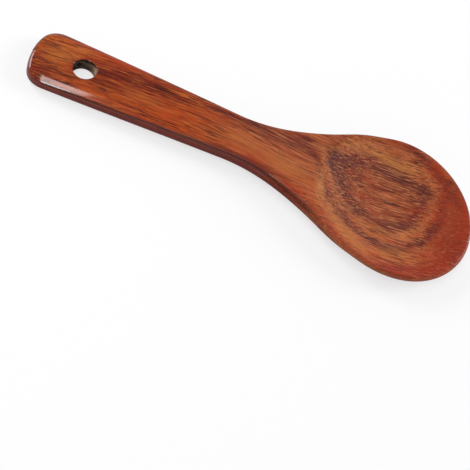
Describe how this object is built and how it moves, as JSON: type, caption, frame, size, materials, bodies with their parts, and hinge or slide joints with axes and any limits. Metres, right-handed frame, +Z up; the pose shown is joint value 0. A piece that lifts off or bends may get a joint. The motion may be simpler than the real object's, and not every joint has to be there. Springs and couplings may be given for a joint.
{
  "type": "rice paddle",
  "caption": "Wooden rice paddle in one piece, with a flat handle, a hanging hole, a waisted neck and an oval head hollowed into a shallow dish.",
  "frame": {"origin": "on the surface the paddle lies on, under the middle of its length and width", "axes": "+X along the paddle from the butt of the handle to the tip of the head, +Y across it, +Z up out of the dish"},
  "size_m": [0.205, 0.071, 0.0091],
  "materials": {
    "lacquered_wood": "clear gloss lacquer over reddish streaked hardwood"
  },
  "bodies": {
    "root": {"paddle": "lacquered_wood"}
  },
  "joints": []
}
